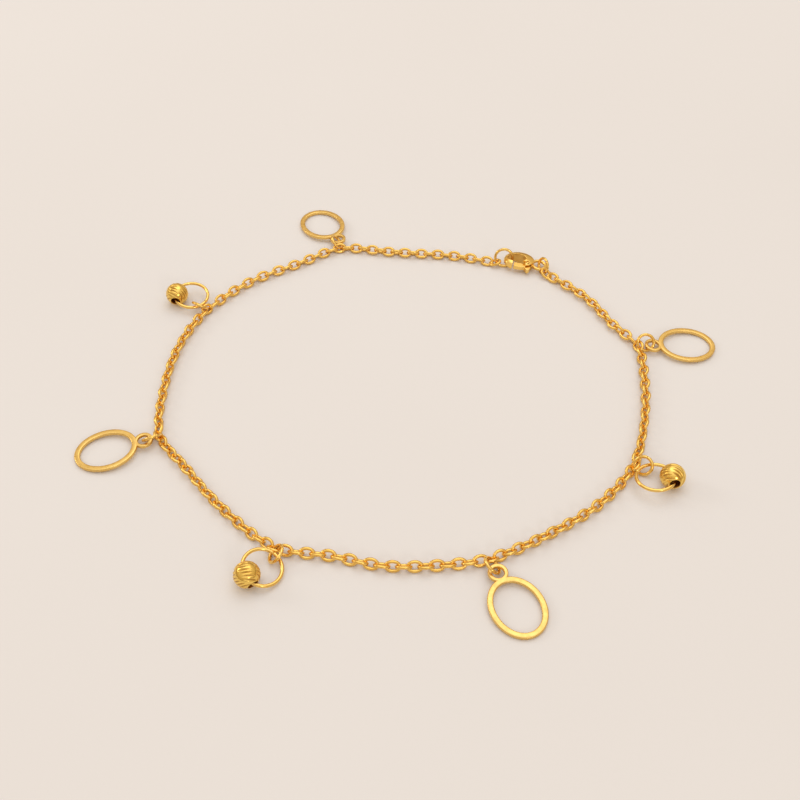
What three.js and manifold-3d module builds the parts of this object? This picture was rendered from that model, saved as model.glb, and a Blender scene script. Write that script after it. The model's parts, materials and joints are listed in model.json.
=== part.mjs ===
// Gold charm bracelet, fastened and lying in a whole loop on a flat surface.
// Units are millimetres, +Z is up, and the surface is z = 0.

import * as THREE from 'three';
import { mergeVertices } from 'three/addons/utils/BufferGeometryUtils.js';
import Module from 'manifold-3d';

const wasm = await Module();
wasm.setup();

// Cable chain: one oval link
const linkLength = 1.92;
const linkWidth = 1.5;
const linkWire = 0.36;
const linkSides = 12;
const linkWireSides = 6;

// How the links that carry rings lie, in degrees: rolled with the outward side up, the two end ones pitched
const linkRoll = 40;
const endPitch = 25;

// Jump rings of the charms and of the clasp's eye
const jumpRingOuter = 2.7;
const jumpRingWire = 0.38;
const jumpRingSides = 18;

// Larger jump ring that the clasp hooks into
const claspRingOuter = 3.1;
const claspRingWire = 0.38;
const claspRingSides = 20;

// Oval charm: a flat oval band with a small flat ear
const ovalLength = 8.3;
const ovalWidth = 6.8;
const ovalBand = 0.7;
const charmThickness = 0.5;
const charmEdge = 0.1;
const earOuter = 2.5;
const earHole = 1.5;
const earOverlap = 0.4;
const ovalSides = 32;
const earSides = 16;
const ovalHoleSteps = 8;

// Bead charm: a drilled ball with panels of slanted cuts, on a plain wire ring.
// beadTurn is how far the ball's faces are turned from the cuts. cutFlatness is a cut's height to its depth.
const beadDiameter = 3.2;
const beadHole = 1.2;
const beadSides = 16;
const beadTurn = 4.6;
const wireRingOuter = 5.3;
const wireRingWire = 0.42;
const wireRingSides = 30;
const cutPanels = 5;
const cutsInPanel = 5;
const cutPitch = 0.5;
const cutDepth = 0.13;
const cutSlant = 16;
const cutFlatness = 0.8;

// Lobster clasp, lying on its side: x runs from the eye to the hook, the lever is on the +y side.
// The dome sizes are those of the ball-like form that rounds its faces, set back by claspTail.
const claspLength = 4.8;
const claspWidth = 3.2;
const claspThickness = 1.9;
const claspTail = 0.4;
const domeLength = 5.42;
const domeWidth = 4.35;
const hookWall = 0.55;
const spineWall = 0.75;
const rearLength = 1.3;
const eyeOuter = 2.5;
const eyeWire = 0.5;
const eyeOverlap = 0.4;
const leverThickness = 0.7;
const leverArm = 0.92;
const leverRoot = 0.5;
const pivotFromRear = 0.95;
const pivotInset = 0.1;
const hookTip = 1.2;
const thumbReach = 0.5;
const thumbBulge = 0.15;
const pinDiameter = 0.4;
const leverSideGap = 0.1;
const leverTipGap = 0.22;

// Facets of the clasp's curves
const claspSteps = 20;
const mouthSteps = 16;
const thumbSteps = 6;
const domeSides = 28;
const pinSides = 16;
const eyeSides = 18;
const eyeWireSides = 8;

// Clearances: round the pin, from the hook to its ring, from the end links to their rings, and from a
// carrying link's side to its jump ring. ringBack is how far along the link that ring sits from its middle.
const pinClearance = 0.06;
const hookRingSlack = 0.66;
const endRingSlack = 0.12;
const ringSlack = 0.2;
const ringBack = -0.1;

// A ring's wire has this many sides
const wireSides = 6;

// The chosen places of the chain, in order from the clasp's hook round to its eye: [x, y].
// The two ends are worked out from the clasp.
const chainRoute = [
  [7.2, 28.0],
  [-1.6, 28.8],
  [-10.6, 29.7],
  [-16.7, 26.2],
  [-24.0, 21.7],
  [-29.8, 15.3],
  [-32.7, 8.6],
  [-33.9, 0.0],
  [-33.1, -9.8],
  [-29.1, -15.2],
  [-23.1, -22.3],
  [-16.2, -27.9],
  [-9.6, -29.1],
  [-2.7, -30.6],
  [4.2, -30.5],
  [10.0, -29.5],
  [17.3, -26.0],
  [24.6, -20.9],
  [29.5, -14.9],
  [32.2, -7.0],
  [33.4, 0.5],
  [33.4, 7.4],
  [30.6, 11.7],
  [27.2, 17.9],
];

// Steps of the chain's core round the whole loop, and the sides of its section.
// Each stretch follows this many places of its own, read from the line at this many steps a span.
const chainSteps = 78;
const coreSides = 8;
const stretchSpans = 12;
const lineSteps = 40;

// Where the clasp lies: its middle, the way from its eye to its hook, and how far the hook is lifted
const claspPlace = { x: 17.6, y: 26.1, turn: 170, lift: 5 };
const hookRing = { reach: 176, lean: 20, side: -1 };
const eyeRing = { reach: -66, lean: 15, side: 1 };

// The charms in order along the chain. stop is the place in chainRoute that carries the charm, and reach
// is the way its jump ring points. lean is how far that ring leans from upright, and side is to which side.
// lie is the way the charm points from there, bead is how far round its wire ring the bead sits, and roll
// is how far the wire ring is tipped. All are in degrees.
const charms = [
  { kind: 'oval', stop: 2, reach: 97, lie: 123, lean: 40, side: 1 },
  { kind: 'bead', stop: 5, reach: 148, lie: 128, lean: 40, side: 1, bead: 50, roll: 0 },
  { kind: 'oval', stop: 8, reach: -155, lie: -163, lean: 40, side: 1 },
  { kind: 'bead', stop: 11, reach: -95, lie: -125, lean: 45, side: 1, bead: -18, roll: -18 },
  { kind: 'oval', stop: 15, reach: -70, lie: -66, lean: 45, side: -1 },
  { kind: 'bead', stop: 18, reach: -38, lie: -64, lean: 40, side: 1, bead: 64, roll: 0 },
  { kind: 'oval', stop: 21, reach: -6, lie: 5, lean: 40, side: 1 },
];

// Sizes that follow from the ones above
const chainHeight = (linkWidth - linkWire) * Math.SQRT1_2 + linkWire;
const earToOval = (ovalLength + earOuter) / 2 - earOverlap;
const eyeFromClasp = (claspLength + eyeOuter) / 2 - eyeOverlap;
const up = new THREE.Vector3(0, 0, 1);

// How far a carrying link is pulled out of the chain's line by its ring
const linkPull = linkWire * 0.6;

// How far the chain's core reaches into the wire of such a link
const coreBite = linkWire / 3;

// Where a charm hangs on its jump ring: the sine of the way below the ring's far side
const farSine = 0.3;

// How far in from the jump ring's own line a wire ring crosses it, as a share of its radius
const wireRingInset = 0.9;

const gold = new THREE.MeshStandardMaterial({ color: 0xe0a63c, roughness: 0.22, metalness: 1 });
const paleGold = new THREE.MeshStandardMaterial({ color: 0xe8bd62, roughness: 0.34, metalness: 1 });

const bracelet = new THREE.Group();

function add(name, geometry, matrix, material) {
  const mesh = new THREE.Mesh(geometry, material);
  mesh.name = name;
  mesh.applyMatrix4(matrix);
  bracelet.add(mesh);
}

// A closed mesh as a solid that can be joined and cut
function toSolid(geometry) {
  const bare = geometry.clone();
  bare.deleteAttribute('normal');
  bare.deleteAttribute('uv');
  const merged = mergeVertices(bare);
  return new wasm.Manifold(new wasm.Mesh({
    numProp: 3,
    vertProperties: new Float32Array(merged.attributes.position.array),
    triVerts: new Uint32Array(merged.index.array),
  }));
}

function toGeometry(solid) {
  const mesh = solid.getMesh();
  const geometry = new THREE.BufferGeometry();
  geometry.setAttribute('position', new THREE.BufferAttribute(new Float32Array(mesh.vertProperties), 3));
  geometry.setIndex(new THREE.BufferAttribute(new Uint32Array(mesh.triVerts), 1));
  return geometry;
}

function joined(geometries) {
  return geometries.map(toSolid).reduce((all, next) => all.add(next));
}

function flatDirection(degrees) {
  const angle = THREE.MathUtils.degToRad(degrees);
  return new THREE.Vector3(Math.cos(angle), Math.sin(angle), 0);
}

// A frame whose x axis is along, whose y axis is across, and whose origin is at place
function frameMatrix(along, across, place) {
  const normal = new THREE.Vector3().crossVectors(along, across);
  return new THREE.Matrix4().makeBasis(along, across, normal).setPosition(place);
}

// Wire sections as [outward, upward] offsets, anticlockwise
function roundSection(diameter, sides) {
  return Array.from({ length: sides }, (_, k) => {
    const angle = (k / sides) * 2 * Math.PI;
    return [Math.cos(angle) * diameter / 2, Math.sin(angle) * diameter / 2];
  });
}

function flatSection(width, thickness, edge) {
  const [w, t, e] = [width / 2, thickness / 2, edge];
  return [
    [w, -t + e], [w, t - e], [w - e, t], [-w + e, t],
    [-w, t - e], [-w, -t + e], [-w + e, -t], [w - e, -t],
  ];
}

// A closed ring whose section follows an ellipse of these half lengths in the xy plane
function ovalRing(halfLength, halfWidth, section, sides) {
  const geometry = new THREE.TorusGeometry(1, 0.5, section.length, sides);
  const position = geometry.attributes.position;
  for (let j = 0; j <= section.length; j += 1) {
    const [outward, upward] = section[j % section.length];
    for (let i = 0; i <= sides; i += 1) {
      const angle = ((i % sides) / sides) * 2 * Math.PI;
      const normal = new THREE.Vector2(Math.cos(angle) / halfLength, Math.sin(angle) / halfWidth).normalize();
      const x = halfLength * Math.cos(angle) + normal.x * outward;
      const y = halfWidth * Math.sin(angle) + normal.y * outward;
      position.setXYZ(j * (sides + 1) + i, x, y, upward);
    }
  }
  return geometry;
}

function roundRing(outer, wire, sides) {
  const radius = (outer - wire) / 2;
  return ovalRing(radius, radius, roundSection(wire, wireSides), sides);
}

// A ring that stands leaning on the surface and passes through the point from.
// It gives the ring's middle, its own axes and the place at any angle below its far side.
function leaningRing(outer, wire, from, place) {
  const radius = (outer - wire) / 2;
  const lean = THREE.MathUtils.degToRad(place.lean);
  const along = flatDirection(place.reach);
  const aside = new THREE.Vector3().crossVectors(up, along).multiplyScalar(-place.side * Math.sin(lean));
  const down = up.clone().multiplyScalar(-Math.cos(lean)).add(aside);
  const height = radius * Math.cos(lean) + wire / 2;
  const nearSine = (height - from.z) / (radius * Math.cos(lean));
  const middle = from.clone()
    .addScaledVector(along, radius * Math.sqrt(1 - nearSine ** 2))
    .addScaledVector(down, -radius * nearSine);
  const far = (sine, inset = 0) => middle.clone()
    .addScaledVector(along, (radius - inset) * Math.sqrt(1 - sine ** 2))
    .addScaledVector(down, (radius - inset) * sine);
  const sineAtHeight = (z) => (height - z) / (radius * Math.cos(lean));
  return { matrix: frameMatrix(along, down, middle), far, sineAtHeight, along };
}

// The clasp's frame. It lies on its dome with its hook lifted.
const claspLift = THREE.MathUtils.degToRad(claspPlace.lift);
const claspLevel = flatDirection(claspPlace.turn);
const claspAcross = new THREE.Vector3().crossVectors(up, claspLevel);
const claspAlong = claspLevel.clone()
  .multiplyScalar(Math.cos(claspLift))
  .addScaledVector(up, Math.sin(claspLift));
const domeReach = Math.hypot(domeLength / 2 * Math.sin(claspLift), claspThickness / 2 * Math.cos(claspLift));
const claspMiddle = domeReach + claspTail * Math.sin(claspLift);
const claspMatrix = frameMatrix(
  claspAlong,
  claspAcross,
  new THREE.Vector3(claspPlace.x, claspPlace.y, claspMiddle),
);

// The mouth is the oval space inside the hook
const mouthFront = claspLength / 2 - hookWall;
const mouthRear = rearLength - claspLength / 2;
const mouthCentre = (mouthFront + mouthRear) / 2;
const mouthLength = mouthFront - mouthRear;
const mouthHalfWidth = claspWidth / 2 - spineWall;
const leverTip = mouthFront - hookTip;
const pivot = { x: pivotFromRear - claspLength / 2, y: mouthHalfWidth - pivotInset };
const leverInner = claspWidth / 2 - leverArm;

function ellipseShape(x, y, halfLength, halfWidth) {
  const shape = new THREE.Shape();
  shape.absellipse(x, y, halfLength, halfWidth, 0, 2 * Math.PI, false, 0);
  return shape;
}

// A flat plate from an outline, with its middle at z = 0
function plate(shape, thickness, curveSegments) {
  const geometry = new THREE.ExtrudeGeometry(shape, { depth: thickness, bevelEnabled: false, curveSegments });
  return geometry.translate(0, 0, -thickness / 2);
}

function block(lowX, highX, lowY, highY, thickness) {
  const box = new THREE.BoxGeometry(highX - lowX, highY - lowY, thickness);
  return box.translate((lowX + highX) / 2, (lowY + highY) / 2, 0);
}

function uprightCylinder(x, y, diameter, height) {
  const cylinder = new THREE.CylinderGeometry(diameter / 2, diameter / 2, height, pinSides);
  return cylinder.rotateX(Math.PI / 2).translate(x, y, 0);
}

// The domed hook and body, with the mouth, the lever's window and slot, and the eye ring behind
function claspBody() {
  const whole = plate(ellipseShape(0, 0, claspLength / 2, claspWidth / 2), claspThickness, claspSteps);
  const dome = new THREE.SphereGeometry(1, domeSides, domeSides / 2);
  dome.rotateX(Math.PI / 2);
  dome.scale(domeLength / 2, domeWidth / 2, claspThickness / 2).translate(-claspTail, 0, 0);
  const mouthShape = ellipseShape(mouthCentre, 0, mouthLength / 2, mouthHalfWidth);
  const mouth = plate(mouthShape, claspThickness * 2, mouthSteps);
  const windowEnd = leverTip + leverTipGap;
  const window = block(mouthRear, windowEnd, leverInner - leverSideGap, claspWidth, claspThickness * 2);
  const slotRear = pivot.x - leverRoot - leverSideGap;
  const slotInner = pivot.y - leverRoot - leverSideGap;
  const slotFront = mouthCentre - mouthLength / 4;
  const slot = block(slotRear, slotFront, slotInner, claspWidth, leverThickness + 2 * leverSideGap);
  const pinHole = uprightCylinder(pivot.x, pivot.y, pinDiameter + 2 * pinClearance, claspThickness * 2);
  const eyeRadius = (eyeOuter - eyeWire) / 2;
  const eye = ovalRing(eyeRadius, eyeRadius, roundSection(eyeWire, eyeWireSides), eyeSides);
  eye.translate(-eyeFromClasp, 0, 0);
  return toSolid(whole)
    .intersect(toSolid(dome))
    .add(toSolid(eye))
    .subtract(joined([mouth, window, slot, pinHole]));
}

// The lever: a round root on the pin, an arm that closes the mouth, and a thumb tab
function claspLever() {
  const arm = plate(ellipseShape(0, 0, claspLength / 2, claspWidth / 2), leverThickness, claspSteps);
  const armEnds = block(pivot.x, leverTip, leverInner, claspWidth, claspThickness);
  const armPart = toSolid(arm).intersect(toSolid(armEnds));
  const root = uprightCylinder(pivot.x, pivot.y, 2 * leverRoot, leverThickness);
  const thumb = new THREE.Shape();
  const thumbTop = claspWidth / 2 + thumbReach;
  thumb.moveTo(pivot.x - leverRoot, pivot.y);
  thumb.lineTo(pivot.x + leverRoot, pivot.y);
  thumb.quadraticCurveTo(pivot.x + leverRoot, thumbTop - thumbReach, pivot.x, thumbTop);
  const bulge = pivot.x - leverRoot - thumbBulge;
  thumb.quadraticCurveTo(bulge, thumbTop - thumbReach / 4, pivot.x - leverRoot, pivot.y);
  const pinHole = uprightCylinder(pivot.x, pivot.y, pinDiameter + 2 * pinClearance, claspThickness);
  return armPart
    .add(toSolid(root))
    .add(toSolid(plate(thumb, leverThickness, thumbSteps)))
    .subtract(toSolid(pinHole));
}

// Half the clasp's thickness at the pin, under its dome
function domeHeight(x, y) {
  const shareX = (x + claspTail) / (domeLength / 2);
  const shareY = y / (domeWidth / 2);
  return (claspThickness / 2) * Math.sqrt(1 - shareX ** 2 - shareY ** 2);
}

// The ring in the hook and the ring in the eye, which the two chain ends hang on
const hookCrossing = mouthFront - claspRingWire / 2 - hookRingSlack;
const hookPoint = new THREE.Vector3(hookCrossing, 0, 0).applyMatrix4(claspMatrix);
const hookRingFrame = leaningRing(claspRingOuter, claspRingWire, hookPoint, hookRing);

const eyeCentre = new THREE.Vector3(-eyeFromClasp, 0, 0).applyMatrix4(claspMatrix);
const eyeRingFrame = leaningRing(jumpRingOuter, jumpRingWire, eyeCentre, eyeRing);

// The middle of the last link on a ring, beyond the ring's far side at the chain's height
function endLinkPlace(ring, wire, towards) {
  const crossing = ring.far(ring.sineAtHeight(chainHeight / 2));
  const way = new THREE.Vector3(towards[0], towards[1], chainHeight / 2).sub(crossing).normalize();
  return crossing.addScaledVector(way, linkLength / 2 - linkWire - wire / 2 - endRingSlack);
}

const firstLink = endLinkPlace(hookRingFrame, claspRingWire, chainRoute[0]);
const lastLink = endLinkPlace(eyeRingFrame, jumpRingWire, chainRoute[chainRoute.length - 1]);

// The chain's line through its chosen places
const routePoints = [
  firstLink,
  ...chainRoute.map(([x, y]) => new THREE.Vector3(x, y, chainHeight / 2)),
  lastLink,
];
const chainLine = new THREE.CatmullRomCurve3(routePoints, false, 'centripetal');
const spanSteps = Math.round(lineSteps);
chainLine.arcLengthDivisions = (routePoints.length - 1) * spanSteps;
const chainLengths = chainLine.getLengths();
const chainTotal = chainLengths[chainLengths.length - 1];

// How far along the chain a place of routePoints is
function lengthAt(index) {
  return chainLengths[index * spanSteps];
}

// The chain at a length: its place, its direction and the way out of the loop
function chainFrame(length) {
  const share = length / chainTotal;
  const along = chainLine.getTangentAt(share);
  const outward = new THREE.Vector3().crossVectors(along, up).normalize();
  return { place: chainLine.getPointAt(share), along, outward };
}

// How far to the side of its link's middle a charm's jump ring passes through
const ringInLink = (linkWidth - jumpRingWire) / 2 - linkWire - ringSlack;

// The way out through a link's side that is rolled up by this angle
function linkSide(frame, roll) {
  const angle = THREE.MathUtils.degToRad(roll);
  return frame.outward.clone().multiplyScalar(Math.cos(angle)).addScaledVector(up, Math.sin(angle));
}

function chainLink(frame, pull, roll, pitch) {
  const link = ovalRing(
    (linkLength - linkWire) / 2,
    (linkWidth - linkWire) / 2,
    roundSection(linkWire, linkWireSides),
    linkSides,
  );
  const place = frame.place.clone().addScaledVector(frame.outward, pull);
  const angle = THREE.MathUtils.degToRad(pitch);
  const along = frame.along.clone().multiplyScalar(Math.cos(angle)).addScaledVector(up, Math.sin(angle));
  return link.applyMatrix4(frameMatrix(along, linkSide(frame, roll).negate(), place));
}

// The chain's full-width core between two lengths, a prism that follows the line
function chainStretch(from, to) {
  const points = [];
  const spans = Math.round(stretchSpans);
  for (let k = 0; k <= spans; k += 1) {
    const length = from + (to - from) * (k / spans);
    points.push(chainLine.getPointAt(length / chainTotal));
  }
  const section = new THREE.Shape();
  const corner = chainHeight / 2 / Math.cos(Math.PI / coreSides);
  for (let k = 0; k < coreSides; k += 1) {
    const angle = (k + 0.5) * 2 * Math.PI / coreSides;
    section[k ? 'lineTo' : 'moveTo'](corner * Math.cos(angle), corner * Math.sin(angle));
  }
  return new THREE.ExtrudeGeometry(section, {
    steps: Math.max(2, Math.floor((to - from) / chainTotal * chainSteps)),
    extrudePath: new THREE.CatmullRomCurve3(points),
    bevelEnabled: false,
  });
}

// The chain: stretches of core, with a real link wherever a ring passes through
function chain() {
  const stops = [0, ...charms.map((charm) => lengthAt(charm.stop + 1)), chainTotal];
  const halfLink = linkLength / 2 - coreBite;
  const parts = [];
  stops.forEach((stop, k) => {
    if (k === 0 || k === stops.length - 1) {
      parts.push(chainLink(chainFrame(stop), 0, 0, k ? endPitch : -endPitch));
    } else {
      parts.push(chainLink(chainFrame(stop), linkPull, linkRoll, 0));
    }
    if (k > 0) {
      parts.push(chainStretch(stops[k - 1] + halfLink, stop - halfLink));
    }
  });
  return joined(parts);
}

// An oval charm about its ear's middle, reaching along +x
function ovalCharm() {
  const section = flatSection(ovalBand, charmThickness, charmEdge);
  const band = ovalRing((ovalLength - ovalBand) / 2, (ovalWidth - ovalBand) / 2, section, ovalSides);
  const earBand = (earOuter - earHole) / 2;
  const earRadius = (earOuter - earBand) / 2;
  const ear = ovalRing(earRadius, earRadius, flatSection(earBand, charmThickness, charmEdge), earSides);
  const insideShape = ellipseShape(earToOval, 0, ovalLength / 2 - ovalBand, ovalWidth / 2 - ovalBand);
  return toSolid(band.translate(earToOval, 0, 0))
    .add(toSolid(ear))
    .subtract(toSolid(plate(insideShape, charmThickness * 2, ovalHoleSteps)));
}

// A drilled bead about its middle, with its hole along y and panels of slanted cuts round it
function bead() {
  const radius = beadDiameter / 2;
  const ball = new THREE.SphereGeometry(radius, beadSides, beadSides - 4);
  ball.rotateY(THREE.MathUtils.degToRad(beadTurn));
  const hole = new THREE.CylinderGeometry(beadHole / 2, beadHole / 2, beadDiameter * 2, beadSides);
  const cutters = [toSolid(hole)];
  const size = cutDepth * 2;
  for (let panel = 0; panel < cutPanels; panel += 1) {
    for (let row = 0; row < cutsInPanel; row += 1) {
      const height = (row - (cutsInPanel - 1) / 2) * cutPitch;
      const surface = Math.sqrt(radius ** 2 - height ** 2);
      const cutter = new THREE.BoxGeometry(size, size, beadDiameter);
      cutter.rotateZ(Math.PI / 4).scale(1, cutFlatness, 1);
      cutter.rotateX(THREE.MathUtils.degToRad(cutSlant));
      cutter.translate(surface - cutDepth + size * Math.SQRT1_2, height, 0);
      cutter.rotateY((panel / cutPanels) * 2 * Math.PI);
      cutters.push(toSolid(cutter));
    }
  }
  return toSolid(ball).subtract(cutters.reduce((all, next) => all.add(next)));
}

// The jump ring of a charm, through its link and leaning on the surface
function charmRing(charm) {
  const frame = chainFrame(lengthAt(charm.stop + 1));
  const from = frame.place.clone()
    .addScaledVector(frame.outward, linkPull)
    .addScaledVector(linkSide(frame, linkRoll), ringInLink)
    .addScaledVector(frame.along, charm.side * ringBack);
  return leaningRing(jumpRingOuter, jumpRingWire, from, charm);
}

// An oval charm hangs by its ear on the ring, and its far end lies on the surface
function placeOval(ring, charm) {
  const ear = ring.far(farSine);
  const reach = earToOval + ovalLength / 2;
  const half = charmThickness / 2;
  const tilt = Math.asin(ear.z / Math.hypot(reach, half)) - Math.atan2(half, reach);
  const along = flatDirection(charm.lie);
  const across = new THREE.Vector3().crossVectors(up, along);
  along.multiplyScalar(Math.cos(tilt)).addScaledVector(up, -Math.sin(tilt));
  return frameMatrix(along, across, ear);
}

// A wire ring passes inside the jump ring, and its bead lies on the surface
function placeBead(ring, charm) {
  const radius = (wireRingOuter - wireRingWire) / 2;
  const near = ring.far(farSine, (jumpRingOuter - jumpRingWire) / 2 * wireRingInset);
  const halfHole = Math.sqrt(beadDiameter ** 2 - beadHole ** 2) / 2;
  const beadRadius = (radius + Math.sqrt(radius ** 2 - halfHole ** 2)) / 2;
  const turn = THREE.MathUtils.degToRad(charm.bead);
  const roll = THREE.MathUtils.degToRad(charm.roll);
  const lift = radius + beadRadius * Math.cos(turn);
  const sway = beadRadius * Math.sin(turn) * Math.sin(roll);
  const tilt = Math.asin((beadDiameter / 2 - near.z) / Math.hypot(lift, sway)) - Math.atan2(sway, lift);
  const level = flatDirection(charm.lie);
  const side = new THREE.Vector3().crossVectors(up, level);
  const along = level.clone().multiplyScalar(Math.cos(tilt)).addScaledVector(up, Math.sin(tilt));
  const across = side.multiplyScalar(Math.cos(roll))
    .addScaledVector(new THREE.Vector3().crossVectors(along, side.clone().normalize()), Math.sin(roll));
  const middle = near.clone().addScaledVector(along, radius);
  const out = along.clone().multiplyScalar(Math.cos(turn)).addScaledVector(across, Math.sin(turn));
  const through = new THREE.Vector3().crossVectors(new THREE.Vector3().crossVectors(along, across), out);
  const beadMiddle = middle.clone().addScaledVector(out, beadRadius);
  return { wire: frameMatrix(along, across, middle), bead: frameMatrix(out, through, beadMiddle) };
}

add('chain', toGeometry(chain()), new THREE.Matrix4(), gold);
add('clasp_body', toGeometry(claspBody()), claspMatrix, gold);
add('clasp_lever', toGeometry(claspLever()), claspMatrix, gold);
const pin = uprightCylinder(pivot.x, pivot.y, pinDiameter, 2 * domeHeight(pivot.x, pivot.y));
add('clasp_pin', pin, claspMatrix, gold);
add('clasp_hook_ring', roundRing(claspRingOuter, claspRingWire, claspRingSides), hookRingFrame.matrix, gold);
add('clasp_eye_ring', roundRing(jumpRingOuter, jumpRingWire, jumpRingSides), eyeRingFrame.matrix, gold);

let ovals = 0;
let beads = 0;
charms.forEach((charm, k) => {
  const ring = charmRing(charm);
  add(`jump_ring_${k + 1}`, roundRing(jumpRingOuter, jumpRingWire, jumpRingSides), ring.matrix, gold);
  if (charm.kind === 'oval') {
    ovals += 1;
    add(`oval_charm_${ovals}`, toGeometry(ovalCharm()), placeOval(ring, charm), paleGold);
  } else {
    beads += 1;
    const place = placeBead(ring, charm);
    add(`wire_ring_${beads}`, roundRing(wireRingOuter, wireRingWire, wireRingSides), place.wire, gold);
    add(`bead_${beads}`, toGeometry(bead()), place.bead, gold);
  }
});

// The origin is the middle of the whole, on the surface
const extent = new THREE.Box3().setFromObject(bracelet, true);
bracelet.position.set(-(extent.min.x + extent.max.x) / 2, -(extent.min.y + extent.max.y) / 2, -extent.min.z);
bracelet.updateMatrixWorld(true);

export default bracelet;
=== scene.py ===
import json
import math

import bmesh
import bpy
import numpy as np
from mathutils import Matrix, Vector


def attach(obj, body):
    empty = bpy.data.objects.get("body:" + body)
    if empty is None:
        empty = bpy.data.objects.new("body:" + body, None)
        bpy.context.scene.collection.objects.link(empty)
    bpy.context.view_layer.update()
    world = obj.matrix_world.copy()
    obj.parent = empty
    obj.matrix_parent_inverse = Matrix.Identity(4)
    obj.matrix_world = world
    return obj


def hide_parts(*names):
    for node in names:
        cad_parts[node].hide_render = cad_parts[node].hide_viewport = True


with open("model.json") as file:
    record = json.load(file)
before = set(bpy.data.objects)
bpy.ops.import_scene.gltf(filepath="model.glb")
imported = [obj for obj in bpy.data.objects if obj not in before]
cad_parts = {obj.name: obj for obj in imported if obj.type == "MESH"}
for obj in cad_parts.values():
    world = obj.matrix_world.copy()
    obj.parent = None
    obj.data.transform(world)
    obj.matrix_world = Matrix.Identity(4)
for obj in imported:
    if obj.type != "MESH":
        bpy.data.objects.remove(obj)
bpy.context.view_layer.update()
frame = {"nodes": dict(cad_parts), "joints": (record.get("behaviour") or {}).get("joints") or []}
nodes = frame["nodes"]
lever = frame["joints"][0]

mm = 0.001
up = Vector((0, 0, 1))

cameraSetup = {
    "aim": Vector((-1.41, -2.59, 0)) * mm,
    "distance": 145.1 * mm,
    "elevation": 47.0,
    "lens": 46.98,
    "sensor": 36.0,
    "nearest": 0.001,
}


def addCamera():
    camera = bpy.data.objects.new("camera", bpy.data.cameras.new("camera"))
    bpy.context.scene.collection.objects.link(camera)
    angle = math.radians(cameraSetup["elevation"])
    away = Vector((0, -math.cos(angle), math.sin(angle)))
    camera.location = cameraSetup["aim"] + away * cameraSetup["distance"]
    camera.rotation_euler = (math.pi / 2 - angle, 0, 0)
    camera.data.lens = cameraSetup["lens"]
    camera.data.sensor_width = cameraSetup["sensor"]
    camera.data.clip_start = cameraSetup["nearest"]
    bpy.context.scene.camera = camera
    # Gold keeps its full colour in this view, which the default one pales
    bpy.context.scene.view_settings.view_transform = "Standard"


lightSetup = [
    # name, place, size, power, colour
    ("keyLight", (0.03, 0.30, 0.54), 0.56, 0.60, (1.0, 0.98, 0.95)),
    ("leftLight", (-0.50, 0.16, 0.26), 0.20, 0.35, (1.0, 0.96, 0.90)),
    ("frontLight", (0.20, -0.44, 0.26), 0.12, 0.20, (1.0, 0.97, 0.93)),
]


# A round light that faces the middle of the bracelet
def addLight(name, place, size, power, colour):
    light = bpy.data.lights.new(name, "AREA")
    light.shape = "DISK"
    light.size = size
    light.energy = power
    light.color = colour
    holder = bpy.data.objects.new(name, light)
    bpy.context.scene.collection.objects.link(holder)
    holder.location = place
    holder.rotation_euler = (-Vector(place)).to_track_quat("-Z", "Y").to_euler()


worldSetup = {
    # how far up, from the horizon at 0 to overhead at 1, and the colour there
    "steps": [
        (0.0, (0.24, 0.15, 0.08)),
        (0.34, (0.60, 0.48, 0.33)),
        (0.70, (0.70, 0.59, 0.45)),
        (0.88, (1.0, 0.98, 0.96)),
    ],
    "strength": 1.07,
}


def addWorld():
    world = bpy.data.worlds.new("studio")
    world.use_nodes = True
    tree = world.node_tree
    background = tree.nodes["Background"]
    background.inputs["Strength"].default_value = worldSetup["strength"]
    coordinate = tree.nodes.new("ShaderNodeTexCoord")
    split = tree.nodes.new("ShaderNodeSeparateXYZ")
    ramp = tree.nodes.new("ShaderNodeValToRGB")
    # A new ramp has two steps, and the others are added before all get their places
    for place, _ in worldSetup["steps"][2:]:
        ramp.color_ramp.elements.new(place)
    for element, (place, colour) in zip(ramp.color_ramp.elements, worldSetup["steps"]):
        element.position = place
        element.color = (*colour, 1)
    tree.links.new(coordinate.outputs["Generated"], split.inputs[0])
    tree.links.new(split.outputs["Z"], ramp.inputs[0])
    tree.links.new(ramp.outputs[0], background.inputs["Color"])
    bpy.context.scene.world = world


def addSocket(tree, name, kind, inOut, value=None):
    socket = tree.interface.new_socket(name=name, in_out=inOut, socket_type=kind)
    if value is not None:
        socket.default_value = value


def addNoise(tree, place, scale, detail):
    noise = tree.nodes.new("ShaderNodeTexNoise")
    noise.inputs["Scale"].default_value = scale
    noise.inputs["Detail"].default_value = detail
    tree.links.new(place, noise.inputs["Vector"])
    return noise.outputs["Fac"]


def addRange(tree, value, given, wanted):
    node = tree.nodes.new("ShaderNodeMapRange")
    for name, number in zip(("From Min", "From Max", "To Min", "To Max"), (*given, *wanted)):
        node.inputs[name].default_value = number
    tree.links.new(value, node.inputs["Value"])
    return node.outputs["Result"]


def addBump(tree, height, distance):
    bump = tree.nodes.new("ShaderNodeBump")
    bump.inputs["Distance"].default_value = distance
    tree.links.new(height, bump.inputs["Height"])
    return bump


# Works on numbers and on the outputs of other nodes
def calculate(tree, operation, a, b):
    node = tree.nodes.new("ShaderNodeMath")
    node.operation = operation
    for k, value in enumerate((a, b)):
        if isinstance(value, (int, float)):
            node.inputs[k].default_value = value
        else:
            tree.links.new(value, node.inputs[k])
    return node.outputs[0]


floorSetup = {
    "size": 8.0,
    "drop": 0.00001,
    "colour": (0.835, 0.825, 0.845),
    "shade": (0.810, 0.795, 0.810),
    "roughness": 0.8,
    "gloss": 0.2,
    "patches": 14.0,
    "patchDetail": 2.0,
    "grain": 900.0,
    "grainDetail": 4.0,
    "grainDepth": 0.0002,
    "relief": 0.12,
}


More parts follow.
